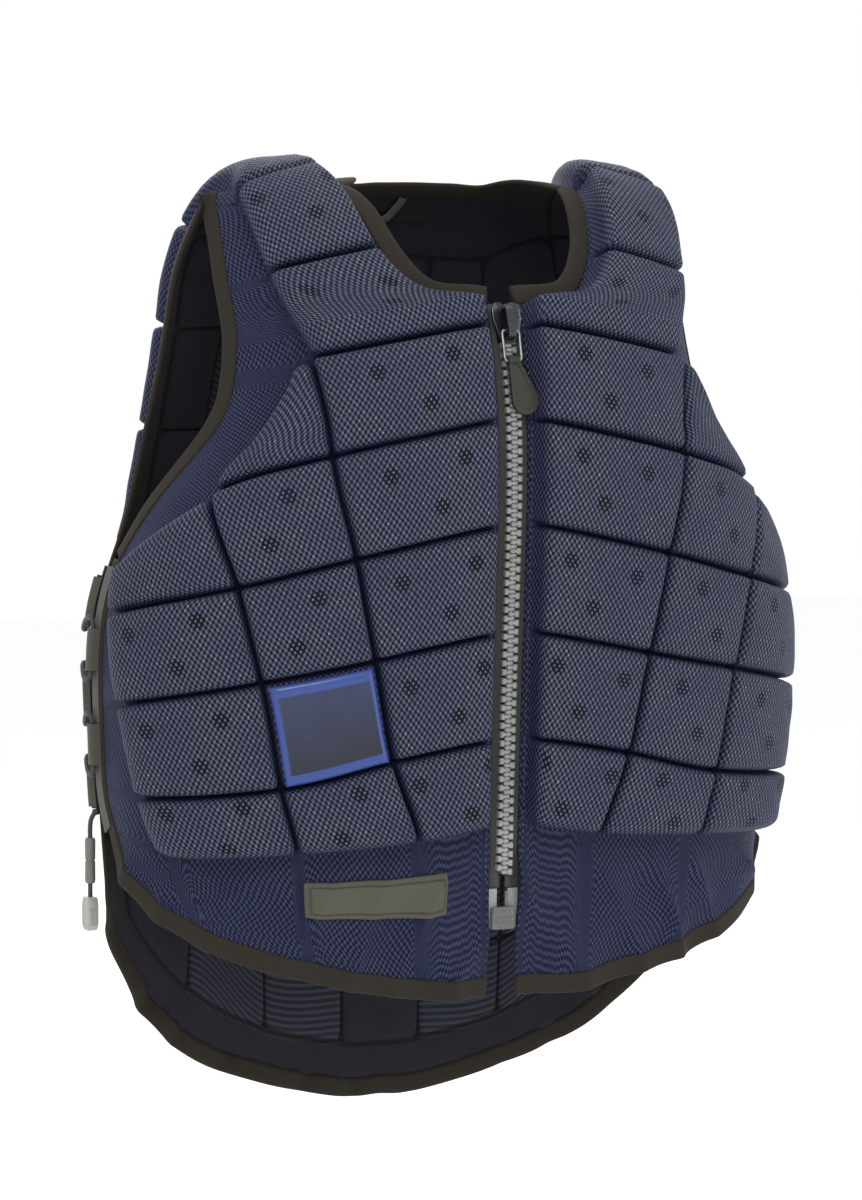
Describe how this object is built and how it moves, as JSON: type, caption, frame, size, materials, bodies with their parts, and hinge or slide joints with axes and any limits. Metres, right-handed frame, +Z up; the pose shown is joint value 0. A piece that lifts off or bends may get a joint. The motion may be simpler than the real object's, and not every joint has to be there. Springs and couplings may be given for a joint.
{
  "type": "equestrian body protector",
  "caption": "Sleeveless riding vest of net-covered foam blocks with a front zip, laced sides and a long back, held open as worn.",
  "frame": {"origin": "mount shoulders: midway between the undersides of the two shoulder bridges, on the line that joins them at their highest", "axes": "+Z up along the standing wearer, -Y the way the wearer faces, +X towards the wearer's left"},
  "size_m": [0.4424, 0.2318, 0.5745],
  "materials": {
    "net": "open knitted net",
    "pad_net": "net drawn over foam",
    "lining": "smooth black cloth",
    "binding": "ribbed tape, stitched",
    "zip_tape": "woven",
    "teeth": "satin",
    "slider": "worn gloss",
    "ring": "satin",
    "tab": "matt",
    "stop": "satin",
    "window": "clear film over dark net",
    "patch": "matt, moulded",
    "lace": "braided elastic",
    "toggle": "satin"
  },
  "bodies": {
    "vest": {"front_panel_left": "net", "front_panel_right": "net", "back_panel": "net", "side_gusset_left": "net", "side_gusset_right": "net", "pad_inner_left": "pad_net", "pad_inner_right": "pad_net", "pad_middle_left": "pad_net", "pad_middle_right": "pad_net", "pad_side_left": "pad_net", "pad_side_right": "pad_net", "shoulder_pad_left": "pad_net", "shoulder_pad_right": "pad_net", "back_pad_side_left": "pad_net", "back_pad_side_right": "pad_net", "back_pad_middle_left": "pad_net", "back_pad_middle_right": "pad_net", "back_pad_inner_left": "pad_net", "back_pad_inner_right": "pad_net", "back_pad_centre": "pad_net", "neck_binding": "binding", "armhole_binding_left": "binding", "armhole_binding_right": "binding", "front_binding_left": "binding", "front_binding_right": "binding", "back_binding": "binding", "gusset_binding_left": "binding", "gusset_binding_right": "binding", "zip_tape_left": "zip_tape", "zip_tape_right": "zip_tape", "zip_teeth_left": "teeth", "zip_teeth_right": "teeth", "zip_slider": "slider", "zip_stop": "stop", "pocket_window": "window", "rubber_patch": "patch", "neck_label": "lining", "hang_loop": "binding", "front_lace_sleeves_left": "binding", "front_lace_sleeves_right": "binding", "back_lace_sleeves_left": "binding", "back_lace_sleeves_right": "binding", "lace_left": "lace", "lace_right": "lace", "lace_tail_left": "lace", "lace_tail_right": "lace", "lace_lock_left": "toggle", "lace_lock_right": "toggle", "cord_clip_left": "toggle", "cord_clip_right": "toggle"},
    "pull_ring": {"pull_ring": "ring"},
    "pull_tab": {"pull_tab": "tab"}
  },
  "joints": [
    {"name": "ring_swing", "type": "hinge", "parent": "vest", "child": "pull_ring", "pos_m": [0, -0.10742, -0.0908], "axis": [-1, 0, 0], "range_deg": [0, 120]},
    {"name": "tab_swing", "type": "hinge", "parent": "pull_ring", "child": "pull_tab", "pos_m": [0, -0.11165, -0.10778], "axis": [-1, 0, 0], "range_deg": [0, 55]}
  ]
}
